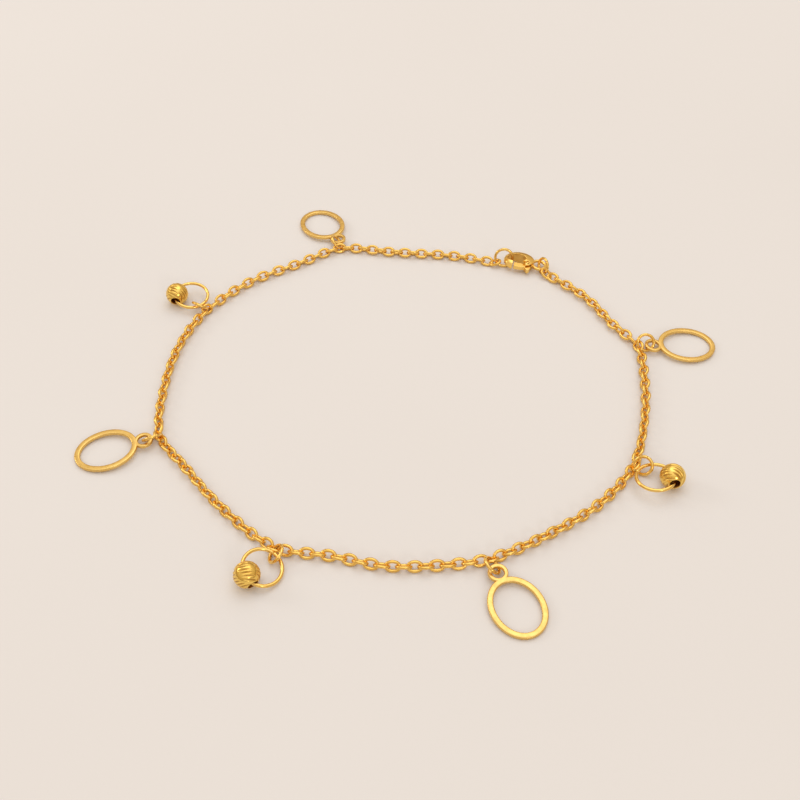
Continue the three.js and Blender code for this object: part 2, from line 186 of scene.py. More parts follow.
def addFloor():
    bpy.ops.mesh.primitive_plane_add(size=floorSetup["size"], location=(0, 0, -floorSetup["drop"]))
    floor = bpy.context.object
    floor.name = "floor"
    material = bpy.data.materials.new("paleFloor")
    material.use_nodes = True
    tree = material.node_tree
    shader = tree.nodes["Principled BSDF"]
    shader.inputs["Roughness"].default_value = floorSetup["roughness"]
    shader.inputs["Specular IOR Level"].default_value = floorSetup["gloss"]
    place = tree.nodes.new("ShaderNodeTexCoord").outputs["Object"]
    # Broad, barely seen patches of tone under a fine matt grain
    patches = addNoise(tree, place, floorSetup["patches"], floorSetup["patchDetail"])
    tone = tree.nodes.new("ShaderNodeMix")
    tone.data_type = "RGBA"
    tone.inputs["A"].default_value = (*floorSetup["colour"], 1)
    tone.inputs["B"].default_value = (*floorSetup["shade"], 1)
    tree.links.new(patches, tone.inputs["Factor"])
    tree.links.new(tone.outputs["Result"], shader.inputs["Base Color"])
    grain = addNoise(tree, place, floorSetup["grain"], floorSetup["grainDetail"])
    bump = addBump(tree, grain, floorSetup["grainDepth"])
    bump.inputs["Strength"].default_value = floorSetup["relief"]
    tree.links.new(bump.outputs["Normal"], shader.inputs["Normal"])
    floor.data.materials.append(material)


goldLooks = {
    # colour, darker colour for the random cloudy tone and for the painted shade in hollows, roughness,
    # depth of the hairline scratches
    "polished": {
        "colour": (0.97, 0.66, 0.20), "deep": (0.86, 0.48, 0.09), "roughness": 0.17, "scratch": 0.05,
    },
    "chain": {
        "colour": (0.96, 0.63, 0.17), "deep": (0.80, 0.42, 0.07), "roughness": 0.20, "scratch": 0.06,
    },
    "oval": {
        "colour": (0.85, 0.58, 0.19), "deep": (0.77, 0.47, 0.12), "roughness": 0.28, "scratch": 0.07,
    },
    "cut": {
        "colour": (0.99, 0.69, 0.18), "deep": (0.82, 0.46, 0.08), "roughness": 0.22, "scratch": 0.04,
    },
}

# The marks that all golds share; a pair is the two ends of a range, in the noise or bend that is
# read or in the tone or dullness that comes of it
marksAndShadeSetup = {
    "cloudScale": 900.0,
    "cloudDetail": 3.0,
    "cloudNoise": (0.35, 0.65),
    "cloudTone": (0.0, 0.35),
    # painted shade: the deep colour is mixed into the hollows, as far as the surface bends inwards
    "hollowBend": (0.50, 0.44),
    "paintedHollowShade": (0.0, 0.6),
    "patchScale": 1500.0,
    "patchDetail": 4.0,
    "patchNoise": (0.4, 0.7),
    "patchDullness": (0.85, 1.5),
    "hairTurn": (0.3, 0.2, 0.7),
    "hairScale": (1500, 14000, 9000),
    "hairDetail": 2.0,
    "hairDepth": 0.00001,
}


# The shared gold marks (random tone, dull patches and hairline scratches) and painted shade in the
# hollows
def makeMarksAndShadeGroup():
    m = marksAndShadeSetup
    usual = goldLooks["polished"]
    group = bpy.data.node_groups.new("handlingMarksAndPaintedShade", "ShaderNodeTree")
    addSocket(group, "Colour", "NodeSocketColor", "INPUT", (*usual["colour"], 1))
    addSocket(group, "Deep Colour", "NodeSocketColor", "INPUT", (*usual["deep"], 1))
    addSocket(group, "Roughness", "NodeSocketFloat", "INPUT", usual["roughness"])
    addSocket(group, "Scratch Depth", "NodeSocketFloat", "INPUT", usual["scratch"])
    addSocket(group, "Colour", "NodeSocketColor", "OUTPUT")
    addSocket(group, "Roughness", "NodeSocketFloat", "OUTPUT")
    addSocket(group, "Normal", "NodeSocketVector", "OUTPUT")
    make = group.nodes.new
    link = group.links.new
    inside = make("NodeGroupInput")
    outside = make("NodeGroupOutput")
    place = make("ShaderNodeTexCoord").outputs["Object"]

    # Soft cloudy variation of the plating's tone, at random, and painted shade: a deeper tone in hollows
    # and seams, where less light falls
    cloud = addNoise(group, place, m["cloudScale"], m["cloudDetail"])
    cloudTone = addRange(group, cloud, m["cloudNoise"], m["cloudTone"])
    bend = make("ShaderNodeNewGeometry").outputs["Pointiness"]
    paintedHollowShade = addRange(group, bend, m["hollowBend"], m["paintedHollowShade"])
    tone = make("ShaderNodeMix")
    tone.data_type = "RGBA"
    link(calculate(group, "MAXIMUM", cloudTone, paintedHollowShade), tone.inputs["Factor"])
    link(inside.outputs["Colour"], tone.inputs["A"])
    link(inside.outputs["Deep Colour"], tone.inputs["B"])
    link(tone.outputs["Result"], outside.inputs["Colour"])

    # Handling marks: patches where the polish is duller
    patch = addNoise(group, place, m["patchScale"], m["patchDetail"])
    dull = addRange(group, patch, m["patchNoise"], m["patchDullness"])
    rough = calculate(group, "MULTIPLY", dull, inside.outputs["Roughness"])
    link(rough, outside.inputs["Roughness"])

    # Hairline scratches, from noise that is drawn out along one direction
    stretch = make("ShaderNodeMapping")
    stretch.inputs["Rotation"].default_value = m["hairTurn"]
    stretch.inputs["Scale"].default_value = m["hairScale"]
    link(place, stretch.inputs["Vector"])
    hair = addNoise(group, stretch.outputs["Vector"], 1, m["hairDetail"])
    bump = addBump(group, hair, m["hairDepth"])
    link(inside.outputs["Scratch Depth"], bump.inputs["Strength"])
    link(bump.outputs["Normal"], outside.inputs["Normal"])
    return group


def makeGold(name, group):
    look = goldLooks[name]
    material = bpy.data.materials.new(name + "Gold")
    material.use_nodes = True
    tree = material.node_tree
    shader = tree.nodes["Principled BSDF"]
    shader.inputs["Metallic"].default_value = 1
    # The shared group gives the marks and paints shade into the hollows
    marksAndShadeNode = tree.nodes.new("ShaderNodeGroup")
    marksAndShadeNode.node_tree = group
    marksAndShadeNode.inputs["Colour"].default_value = (*look["colour"], 1)
    marksAndShadeNode.inputs["Deep Colour"].default_value = (*look["deep"], 1)
    marksAndShadeNode.inputs["Roughness"].default_value = look["roughness"]
    marksAndShadeNode.inputs["Scratch Depth"].default_value = look["scratch"]
    tree.links.new(marksAndShadeNode.outputs["Colour"], shader.inputs["Base Color"])
    tree.links.new(marksAndShadeNode.outputs["Roughness"], shader.inputs["Roughness"])
    tree.links.new(marksAndShadeNode.outputs["Normal"], shader.inputs["Normal"])
    return material


# The bead's drilled hole is unpolished inside, and its dark colour there is painted shade
boreSetup = {
    "colour": (0.30, 0.11, 0.02),
    "roughness": 0.55,
}


# Paints shade into a bead and dulls it as far as its shade attribute says: wholly in the hole, less in
# the cuts
def paintBoreShade(material):
    tree = material.node_tree
    shader = tree.nodes["Principled BSDF"]
    mark = tree.nodes.new("ShaderNodeAttribute")
    mark.attribute_name = "paintedShade"
    for socket, value, kind in (
        ("Base Color", (*boreSetup["colour"], 1), "RGBA"),
        ("Roughness", boreSetup["roughness"], "FLOAT"),
    ):
        before = shader.inputs[socket].links[0].from_socket
        mix = tree.nodes.new("ShaderNodeMix")
        mix.data_type = kind
        factor, clean, dark = [item for item in mix.inputs if item.enabled]
        tree.links.new(mark.outputs["Fac"], factor)
        tree.links.new(before, clean)
        dark.default_value = value
        result = next(item for item in mix.outputs if item.enabled)
        tree.links.new(result, shader.inputs[socket])


def addPiece(name, mesh, material, body, replaced):
    piece = bpy.data.objects.new(name, mesh)
    bpy.context.scene.collection.objects.link(piece)
    if not mesh.materials:
        mesh.materials.append(material)
    mesh.polygons.foreach_set("use_smooth", [True] * len(mesh.polygons))
    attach(piece, body)
    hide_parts(replaced)


def meshFrom(name, points, faces):
    mesh = bpy.data.meshes.new(name)
    mesh.from_pydata([tuple(p) for p in points], [], faces)
    mesh.validate()
    mesh.update()
    return mesh


def joinMeshes(name, meshes):
    work = bmesh.new()
    for mesh in meshes:
        work.from_mesh(mesh)
    mesh = bpy.data.meshes.new(name)
    work.to_mesh(mesh)
    work.free()
    return mesh


def faceOut(mesh):
    work = bmesh.new()
    work.from_mesh(mesh)
    insideOut = work.calc_volume(signed=True) < 0
    work.free()
    if insideOut:
        mesh.flip_normals()
    return mesh


# Faces over a grid of points whose columns close, and whose rows close too unless told otherwise
def gridFaces(rows, columns, closedRows=True):
    faces = []
    for i in range(rows if closedRows else rows - 1):
        here, there = i * columns, (i + 1) % rows * columns
        for j in range(columns):
            following = (j + 1) % columns
            faces.append((here + j, here + following, there + following, there + j))
    return faces


def roundSection(diameter, sides):
    angles = [2 * math.pi * k / sides for k in range(sides)]
    return [(math.cos(a) * diameter / 2, math.sin(a) * diameter / 2) for a in angles]


# A softly squared section, so that a flat band keeps a crowned face and rounded edges
def crownedSection(width, thickness, squareness, sides):
    points = []
    for k in range(sides):
        angle = 2 * math.pi * (k + 0.5) / sides
        c, s = math.cos(angle), math.sin(angle)
        points.append((
            math.copysign(abs(c) ** (2 / squareness), c) * width / 2,
            math.copysign(abs(s) ** (2 / squareness), s) * thickness / 2,
        ))
    return points


# A closed band round an ellipse in the local xy plane, its section at right angles to it
def ovalBand(name, halfLength, halfWidth, section, sides, middle=0.0):
    points = []
    for i in range(sides):
        angle = 2 * math.pi * i / sides
        normal = Vector((math.cos(angle) / halfLength, math.sin(angle) / halfWidth, 0)).normalized()
        base = Vector((middle + halfLength * math.cos(angle), halfWidth * math.sin(angle), 0))
        points += [base + normal * outward + up * high for outward, high in section]
    return meshFrom(name, points, gridFaces(sides, len(section)))


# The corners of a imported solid; its loose triangles share them to a ten-thousandth of a millimetre
def cornersOf(node):
    coordinates = np.array([v.co for v in nodes[node].data.vertices], float)
    return np.unique(np.round(coordinates, 7), axis=0)


# The middle of a set of points, and its axes from the longest to the shortest
def axesOf(points):
    middle = points.mean(axis=0)
    _, vectors = np.linalg.eigh(np.cov((points - middle).T))
    return Vector(middle), [Vector(vectors[:, k]) for k in (2, 1, 0)]


def reachAlong(points, axis):
    reaches = [Vector(p).dot(axis) for p in points]
    return min(reaches), max(reaches)


def basis(along, across, place):
    normal = along.cross(across)
    return Matrix((
        (along.x, across.x, normal.x, place.x),
        (along.y, across.y, normal.y, place.y),
        (along.z, across.z, normal.z, place.z),
        (0, 0, 0, 1),
    ))


ringSetup = {
    "wire": 0.38 * mm,
    "hookWire": 0.38 * mm,
    "thicker": 0.05 * mm,  # than the solids' wire
    "sides": 96,
    "wireSides": 20,
    "seam": 0.02 * mm,
    "seamEnd": 0.9,  # the wire's two ends narrow to this share of it
    "hookSeam": Vector((-0.4, 0, 1)),
    "eyeSeam": Vector((0.3, -0.4, 1)),
    "charmSeam": Vector((0.2, 0.3, 1)),
}


# A ring's middle, its normal, and its radius to the middle of the wire
def ringOf(node, wire):
    points = cornersOf(node)
    middle, axes = axesOf(points)
    normal = axes[2]
    if normal.z < 0:
        normal = -normal
    flat = [Vector(p) - middle for p in points]
    reach = max((p - normal * p.dot(normal)).length for p in flat)
    return middle, normal, reach - wire / 2


# A round wire ring that closes with a hairline seam at its local +x
def seamedRing(name, radius, wire):
    section = roundSection(wire, ringSetup["wireSides"])
    sides = ringSetup["sides"]
    start = ringSetup["seam"] / 2 / radius
    points = []
    for i in range(sides + 1):
        angle = start + (2 * math.pi - 2 * start) * i / sides
        out = Vector((math.cos(angle), math.sin(angle), 0))
        size = ringSetup["seamEnd"] if i in (0, sides) else 1.0
        points += [out * radius + out * outward * size + up * high * size for outward, high in section]
    count = len(section)
    faces = gridFaces(sides + 1, count, closedRows=False)
    faces.append(tuple(range(count))[::-1])
    faces.append(tuple(range(sides * count, (sides + 1) * count)))
    return meshFrom(name, points, faces)


def makeRing(node, wire, material, seamTowards):
    middle, normal, radius = ringOf(node, wire)
    mesh = seamedRing(node + "Wire", radius, wire + ringSetup["thicker"])
    along = (seamTowards - normal * seamTowards.dot(normal)).normalized()
    mesh.transform(basis(along, normal.cross(along), middle))
    addPiece(node + "Wire", faceOut(mesh), material, "bracelet", node)
    return middle, normal, radius


chainSetup = {
    "pitch": 1.30 * mm,
    "length": 2.14 * mm,
    "width": 1.62 * mm,
    "wire": 0.43 * mm,
    "height": 1.26 * mm,
    "pull": 0.216 * mm,  # how far a charm's ring draws its link outwards
    "endSlack": 0.12 * mm,
    # in degrees: the roll of a link to either side and of one that carries a ring, and the tilt
    # of the two end links
    "roll": 45.0,
    "ringRoll": 40.0,
    "endPitch": 25.0,
    # in degrees, how far the chain itself turns between one ring and the next, from the clasp's
    # hook round to its eye: the first figure is for a turn one way and back, the second for one
    # each way
    "turns": [(6, -5), (-4, 6), (-19, -7), (18, 10), (3, -3), (6, 8), (4, -6), (42, 5)],
    "jitter": 5.0,  # the most that one link is turned by chance, in degrees
    "seed": 7,
    "sides": 24,
    "wireSides": 8,
    "lineSteps": 60,
}

# The chain's chosen places in order from the clasp's hook round to its eye, in millimetres
chainRoute = [
    (7.2, 28.0), (-1.6, 28.8), (-10.6, 29.7), (-16.7, 26.2), (-24.0, 21.7), (-29.8, 15.3),
    (-32.7, 8.6), (-33.9, 0.0), (-33.1, -9.8), (-29.1, -15.2), (-23.1, -22.3), (-16.2, -27.9),
    (-9.6, -29.1), (-2.7, -30.6), (4.2, -30.5), (10.0, -29.5), (17.3, -26.0), (24.6, -20.9),
    (29.5, -14.9), (32.2, -7.0), (33.4, 0.5), (33.4, 7.4), (30.6, 11.7), (27.2, 17.9),
]

# The frame's origin is the middle of the bracelet's box. The chosen places were measured from a
# slightly different point, which lies here in the frame.
routeOrigin = Vector((-0.414, 0.112, 0)) * mm

# The places in chainRoute whose link carries a charm's ring, counted from 0
charmStops = [2, 5, 8, 11, 15, 18, 21]


def routePlace(x, y):
    return routeOrigin + Vector((x * mm, y * mm, chainSetup["height"] / 2))


# One point of a centripetal spline, at share t of the way from the second of four places to the third
def splinePoint(p, t):
    steps = [(p[k + 1] - p[k]).length ** 0.5 for k in range(3)]

    def slope(a, b, c, before, after):
        return (b - a) / before - (c - a) / (before + after) + (c - b) / after

    start = slope(p[0], p[1], p[2], steps[0], steps[1]) * steps[1]
    end = slope(p[1], p[2], p[3], steps[1], steps[2]) * steps[1]
    return (
        p[1] * (2 * t ** 3 - 3 * t ** 2 + 1) + start * (t ** 3 - 2 * t ** 2 + t)
        + p[2] * (3 * t ** 2 - 2 * t ** 3) + end * (t ** 3 - t ** 2)
    )


def splineLine(places):
    steps = chainSetup["lineSteps"]
    padded = [places[0] * 2 - places[1]] + places + [places[-1] * 2 - places[-2]]
    line = []
    for k in range(len(places) - 1):
        line.append([splinePoint(padded[k:k + 4], s / steps) for s in range(steps + 1)])
    return line


# Places along one stretch of the line, an equal step apart, and the line's direction there
def stepAlong(stretch, count):
    lengths = [0.0]
    for a, b in zip(stretch, stretch[1:]):
        lengths.append(lengths[-1] + (b - a).length)
    places = []
    for k in range(count + 1):
        wanted = lengths[-1] * k / count
        j = min(max(np.searchsorted(lengths, wanted), 1), len(lengths) - 1)
        before, after = stretch[j - 1], stretch[j]
        share = (wanted - lengths[j - 1]) / (lengths[j] - lengths[j - 1])
        places.append((before.lerp(after, share), (after - before).normalized()))
    return places


# Every link's place, direction and side, the number of its stretch, its own number there, and the
# stretch's count and pitch. Between two rings the count is even, so that their links lie alike.
def chainPlaces(firstPlace, lastPlace):
    chosen = [routePlace(x, y) for x, y in chainRoute]
    line = splineLine([firstPlace] + chosen + [lastPlace])
    stops = [0] + [k + 1 for k in charmStops] + [len(chosen) + 1]
    last = len(stops) - 2
    links = []
    for number, (start, end) in enumerate(zip(stops, stops[1:])):
        stretch = [line[start][0]]
        for segment in line[start:end]:
            stretch += segment[1:]
        total = sum((b - a).length for a, b in zip(stretch, stretch[1:]))
        count = round(total / chainSetup["pitch"])
        if number not in (0, last):
            count = 2 * round(total / chainSetup["pitch"] / 2)
        places = stepAlong(stretch, count)
        for k, (place, along) in enumerate(places if number == last else places[:-1]):
            parity = (count - k) % 2 if number == 0 else k % 2
            links.append((place, along, parity, number, k, count, total / count))
    return links


# Where the last link of the chain lies on the ring that it hangs on
def endPlace(ring, wire, towards):
    middle, normal, radius = ring
    goal = routePlace(*towards)
    level = (up - normal * normal.z).normalized()
    side = normal.cross(level)
    if side.dot(goal - middle) < 0:
        side = -side
    rise = (chainSetup["height"] / 2 - middle.z) / (radius * level.z)
    crossing = middle + level * radius * rise + side * radius * math.sqrt(1 - rise * rise)
    reach = chainSetup["length"] / 2 - chainSetup["wire"] - wire / 2 - chainSetup["endSlack"]
    return crossing + (goal - crossing).normalized() * reach


# Geometry Nodes: one wire link, put on every point of the chain and turned as it lies there
def makeLinkTree(material, sizes):
    tree = bpy.data.node_groups.new("chainLinks", "GeometryNodeTree")
    addSocket(tree, "Geometry", "NodeSocketGeometry", "INPUT")
    for name, value in sizes.items():
        kind = "NodeSocketInt" if name == "Seed" else "NodeSocketFloat"
        addSocket(tree, name, kind, "INPUT", value)
    addSocket(tree, "Geometry", "NodeSocketGeometry", "OUTPUT")
    make = tree.nodes.new
    link = tree.links.new
    inside = make("NodeGroupInput")
    outside = make("NodeGroupOutput")

    def attribute(name):
        node = make("GeometryNodeInputNamedAttribute")
        node.data_type = "FLOAT"
        node.inputs["Name"].default_value = name
        return node.outputs["Attribute"]

    # The wire's own line is an oval inside the link's outline
    circle = make("GeometryNodeCurvePrimitiveCircle")
    circle.inputs["Resolution"].default_value = chainSetup["sides"]
    circle.inputs["Radius"].default_value = 1
    size = make("ShaderNodeCombineXYZ")
    for axis, outline in (("X", "Link Length"), ("Y", "Link Width")):
        line = calculate(tree, "SUBTRACT", inside.outputs[outline], inside.outputs["Wire"])
        link(calculate(tree, "MULTIPLY", line, 0.5), size.inputs[axis])
    size.inputs["Z"].default_value = 1
    shape = make("GeometryNodeTransform")
    link(circle.outputs["Curve"], shape.inputs["Geometry"])
    link(size.outputs[0], shape.inputs["Scale"])
    profile = make("GeometryNodeCurvePrimitiveCircle")
    profile.inputs["Resolution"].default_value = chainSetup["wireSides"]
    link(calculate(tree, "MULTIPLY", inside.outputs["Wire"], 0.5), profile.inputs["Radius"])
    wire = make("GeometryNodeCurveToMesh")
    link(shape.outputs["Geometry"], wire.inputs["Curve"])
    link(profile.outputs["Curve"], wire.inputs["Profile Curve"])

    # Every link gets a small turn of its own, but for those that a ring or the clasp holds
    chance = make("FunctionNodeRandomValue")
    chance.data_type = "FLOAT"
    link(calculate(tree, "MULTIPLY", inside.outputs["Jitter"], -1), chance.inputs[2])
    link(inside.outputs["Jitter"], chance.inputs[3])
    link(inside.outputs["Seed"], chance.inputs["Seed"])
    loose = calculate(tree, "MULTIPLY", chance.outputs[1], attribute("loose"))
    turn = make("ShaderNodeCombineXYZ")
    link(calculate(tree, "ADD", attribute("roll"), loose), turn.inputs["X"])
    link(attribute("pitch"), turn.inputs["Y"])
    link(attribute("heading"), turn.inputs["Z"])
    rotation = make("FunctionNodeEulerToRotation")
    link(turn.outputs[0], rotation.inputs[0])
    stretch = make("ShaderNodeCombineXYZ")
    link(attribute("stretch"), stretch.inputs["X"])
    stretch.inputs["Y"].default_value = 1
    stretch.inputs["Z"].default_value = 1
    spread = make("GeometryNodeInstanceOnPoints")
    link(inside.outputs["Geometry"], spread.inputs["Points"])
    link(wire.outputs["Mesh"], spread.inputs["Instance"])
    link(rotation.outputs[0], spread.inputs["Rotation"])
    link(stretch.outputs[0], spread.inputs["Scale"])
    real = make("GeometryNodeRealizeInstances")
    link(spread.outputs["Instances"], real.inputs["Geometry"])
    paint = make("GeometryNodeSetMaterial")
    paint.inputs["Material"].default_value = material
    link(real.outputs["Geometry"], paint.inputs["Geometry"])
    link(paint.outputs["Geometry"], outside.inputs["Geometry"])
    return tree


# The chain's points, and for each the roll, pitch, heading, looseness and stretch of its link
def linkPoints(links):
    c = chainSetup
    points = []
    values = {"roll": [], "pitch": [], "heading": [], "loose": [], "stretch": []}
    halfGap = (c["width"] - c["wire"]) / 2
    for number, (place, along, parity, stretch, k, count, pitch) in enumerate(links):
        outward = along.cross(up).normalized()
        atEnd = number in (0, len(links) - 1)
        onRing = k == 0 and not atEnd
        if onRing:
            place = place + outward * c["pull"]
        share = math.pi * k / count
        once, twice = c["turns"][stretch]
        turn = once * math.sin(share) + twice * math.sin(2 * share)
        roll = -c["ringRoll"] if onRing else c["roll"] * (1 if parity else -1) + turn
        # A link that stands steeper lies higher
        steepest = math.radians(c["roll"] + abs(turn))
        place = place + up * halfGap * (math.sin(steepest) - math.sin(math.radians(c["roll"])))
        tilt = 0.0
        if atEnd:
            roll = 0.0
            tilt = c["endPitch"] * (1 if number == 0 else -1)
        points.append(place)
        values["roll"].append(math.radians(roll))
        values["pitch"].append(math.radians(tilt))
        values["heading"].append(math.atan2(along.y, along.x))
        values["loose"].append(0.0 if onRing or atEnd else 1.0)
        values["stretch"].append(pitch / c["pitch"])
    return points, values


def makeChain(material, hookRing, eyeRing):
    first = endPlace(hookRing, ringSetup["hookWire"], chainRoute[0])
    last = endPlace(eyeRing, ringSetup["wire"], chainRoute[-1])
    links = chainPlaces(first, last)
    points, values = linkPoints(links)
    mesh = bpy.data.meshes.new("chainPoints")
    mesh.from_pydata(points, [], [])
    for name, numbers in values.items():
        layer = mesh.attributes.new(name, "FLOAT", "POINT")
        layer.data.foreach_set("value", numbers)
    holder = bpy.data.objects.new("chainPoints", mesh)
    bpy.context.scene.collection.objects.link(holder)
    sizes = {
        "Link Length": chainSetup["length"],
        "Link Width": chainSetup["width"],
        "Wire": chainSetup["wire"],
        "Jitter": math.radians(chainSetup["jitter"]),
        "Seed": chainSetup["seed"],
    }
    modifier = holder.modifiers.new("links", "NODES")
    modifier.node_group = makeLinkTree(material, sizes)
    for item in modifier.node_group.interface.items_tree:
        if item.in_out == "INPUT" and item.name in sizes:
            modifier[item.identifier] = sizes[item.name]
    graph = bpy.context.evaluated_depsgraph_get()
    result = bpy.data.meshes.new_from_object(
        holder.evaluated_get(graph), preserve_all_data_layers=False, depsgraph=graph)
    holder.modifiers.clear()
    bpy.data.objects.remove(holder)
    result.name = "chainLinks"
    addPiece("chainLinks", faceOut(result), material, "bracelet", "chain")
    print("chain:", len(links), "links,", len(result.polygons), "faces")


ovalSetup = {
    "rings": [1, 3, 5, 7],  # the charm rings that carry an oval, counted from 1
    "length": 8.3 * mm,
    "width": 6.8 * mm,
    "band": 0.70 * mm,
    "spread": 0.05 * mm,  # how much wider the band is than the solids'
    "thickness": 0.50 * mm,
    "earOuter": 2.5 * mm,
    "earHole": 1.5 * mm,
    "earOverlap": 0.4 * mm,
    "earThinner": 0.98,
    "squareness": 4.4,
    "earSquareness": 4.0,
    "sides": 160,
    "earSides": 80,
    "sectionSides": 28,
}


def makeOval(number, material, ringMiddle):
    s = ovalSetup
    node = f"oval_charm_{number}"
    points = cornersOf(node)
    middle, axes = axesOf(points)
    along, normal = axes[0], axes[2]
    if along.dot(middle - ringMiddle) < 0:
        along = -along
    if normal.z < 0:
        normal = -normal
    across = normal.cross(along)
    near, _ = reachAlong(points, along)
    earMiddle = (
        along * (near + s["earOuter"] / 2)
        + normal * sum(reachAlong(points, normal)) / 2
        + across * sum(reachAlong(points, across)) / 2
    )
    fromEar = (s["length"] + s["earOuter"]) / 2 - s["earOverlap"]
    halfLength, halfWidth = (s["length"] - s["band"]) / 2, (s["width"] - s["band"]) / 2
    section = crownedSection(s["band"] + s["spread"], s["thickness"], s["squareness"], s["sectionSides"])
    oval = ovalBand("oval", halfLength, halfWidth, section, s["sides"], fromEar)
    earBand = (s["earOuter"] - s["earHole"]) / 2
    earRadius = (s["earOuter"] - earBand) / 2
    earThickness = s["thickness"] * s["earThinner"]
    earSection = crownedSection(earBand, earThickness, s["earSquareness"], s["sectionSides"])
    ear = ovalBand("ear", earRadius, earRadius, earSection, s["earSides"])
    mesh = joinMeshes("ovalCharm", [faceOut(oval), faceOut(ear)])
    mesh.transform(basis(along, across, earMiddle))
    addPiece(f"ovalCharm{number}", mesh, material, "bracelet", node)


beadSetup = {
    "rings": [2, 4, 6],  # the charm rings that carry a bead, counted from 1
    "diameter": 3.3 * mm,
    "lift": 0.05 * mm,
    "wire": 0.42 * mm,
    "hole": 1.2 * mm,  # the solids' hole, which places the bead on its wire
    "mouth": 1.34 * mm,  # the hole that is seen
    "rim": 0.05 * mm,  # how far below the surface the hole's wall ends
    "rimAngle": 0.03,  # and how far from the hole the outside ends, in radians
    "panels": 5,
    "cuts": 6,
    "cutPitch": 0.46 * mm,
    "cutLength": 1.9 * mm,
    "cutDepth": 0.12 * mm,
    "cutSlope": 0.75,
    "cutSlant": 24.0,
    # how much painted shade the deepest cut gets
    "cutShade": 0.75,
    "around": 320,
    "along": 150,
    "boreSteps": 8,
}


# How deep the slanted cuts go at a place on the bead: turn round its hole, height along it
def cutDepthAt(turn, height, radius):
    s = beadSetup
    best = 0.0
    slant = math.radians(s["cutSlant"])
    half = s["cutLength"] / 2
    for panel in range(s["panels"]):
        middle = 2 * math.pi * panel / s["panels"]
        x = ((turn - middle + math.pi) % (2 * math.pi) - math.pi) * radius
        for row in range(s["cuts"]):
            y = height - (row - (s["cuts"] - 1) / 2) * s["cutPitch"]
            along = x * math.cos(slant) + y * math.sin(slant)
            across = y * math.cos(slant) - x * math.sin(slant)
            if abs(along) < half:
                depth = s["cutDepth"] * (1 - (along / half) ** 2) - abs(across) * s["cutSlope"]
                best = max(best, depth)
    return best


def makeBead(number, material, ringMiddle, ringNormal, ringRadius):
    s = beadSetup
    node = f"bead_{number}"
    radius = s["diameter"] / 2
    # The hole is straight and the wire bends, so the bead lies midway between the arc and its chord
    toBead = axesOf(cornersOf(node))[0] - ringMiddle
    out = (toBead - ringNormal * toBead.dot(ringNormal)).normalized()
    halfHole = math.sqrt(radius ** 2 - (s["hole"] / 2) ** 2)
    fromMiddle = (ringRadius + math.sqrt(ringRadius ** 2 - halfHole ** 2)) / 2
    middle = ringMiddle + out * fromMiddle + up * s["lift"]
    # Its profile runs down the outside and back up the hole
    mouth = s["mouth"] / 2
    edge = math.asin(mouth / radius)
    profile = []
    for k in range(s["along"] + 1):
        angle = edge + s["rimAngle"] + (math.pi - 2 * edge - 2 * s["rimAngle"]) * k / s["along"]
        profile.append((radius * math.sin(angle), radius * math.cos(angle), True))
    inner = math.sqrt(radius ** 2 - mouth ** 2) - s["rim"]
    for k in range(s["boreSteps"] + 1):
        profile.append((mouth, inner * (2 * k / s["boreSteps"] - 1), False))
    points, dark = [], []
    for i in range(s["around"]):
        turn = 2 * math.pi * i / s["around"]
        for reach, height, outside in profile:
            shade = 1.0
            if outside:
                # The cuts get painted shade that grows with their depth
                depth = cutDepthAt(turn, height, reach)
                shade = s["cutShade"] * depth / s["cutDepth"]
                shrink = 1 - depth / radius
                reach, height = reach * shrink, height * shrink
            dark.append(shade)
            points.append((math.cos(turn) * reach, height, math.sin(turn) * reach))
    mesh = meshFrom("bead", points, gridFaces(s["around"], len(profile)))
    paintedShade = mesh.attributes.new("paintedShade", "FLOAT", "POINT")
    paintedShade.data.foreach_set("value", dark)
    mesh.transform(basis(out, ringNormal.cross(out), middle))
    addPiece(f"bead{number}", faceOut(mesh), material, "bracelet", node)


# The clasp is worked in millimetres in its own frame: x from the eye to the hook, the lever on +y
claspSetup = {
    "turn": 170.0,
    "lift": 5.0,
    "length": 4.8,
    "width": 3.2,
    "thickness": 1.9,
    "tail": 0.4,
    "domeLength": 5.42,
    "domeWidth": 4.35,
    "hookWall": 0.55,
    "spineWall": 0.75,
    "mouthLength": 2.95,
    "hookTip": 1.2,
    "eyeOuter": 2.5,
    "eyeWire": 0.5,
    "eyeOverlap": 0.4,
    "leverThickness": 0.7,
    "leverArm": 0.92,
    "leverRoot": 0.5,
    "leverReach": 2.1,
    "pivotInset": 0.1,
    "thumbReach": 0.5,
    "thumbBack": 1.3,  # how far back the tab bulges, as a share of leverRoot
    "thumbDip": 0.25,  # and how far below its tip, as a share of thumbReach
    "slotEnd": 0.25,  # how far behind the mouth's middle the slot ends, as a share of mouthLength
    "pin": 0.4,
    "pinHead": 0.08,
    "pinClearance": 0.06,
    "sideGap": 0.1,
    "tipGap": 0.22,
    # how tall the outline and the cutting tools are, as shares of the thickness
    "outlineTall": 1.2,
    "cutterTall": 2.0,
    # the lever's joined parts differ a hair in thickness, so that no two faces lie in one plane
    "rootThinner": 0.999,
    "thumbThinner": 0.998,
    # how finely things are divided
    "outlineSides": 96,
    "rootSides": 64,
    "holeSides": 48,
    "eyeSides": 72,
    "eyeWireSides": 24,
    "pinSides": 40,
    "pinSteps": 8,
    "thumbSteps": 16,
    "domeSides": (96, 48),
    "voxel": 0.032,
    "leverVoxel": 0.8,  # as a share of the body's
    "smoothing": 8,
    "smoothFactor": 0.5,
}


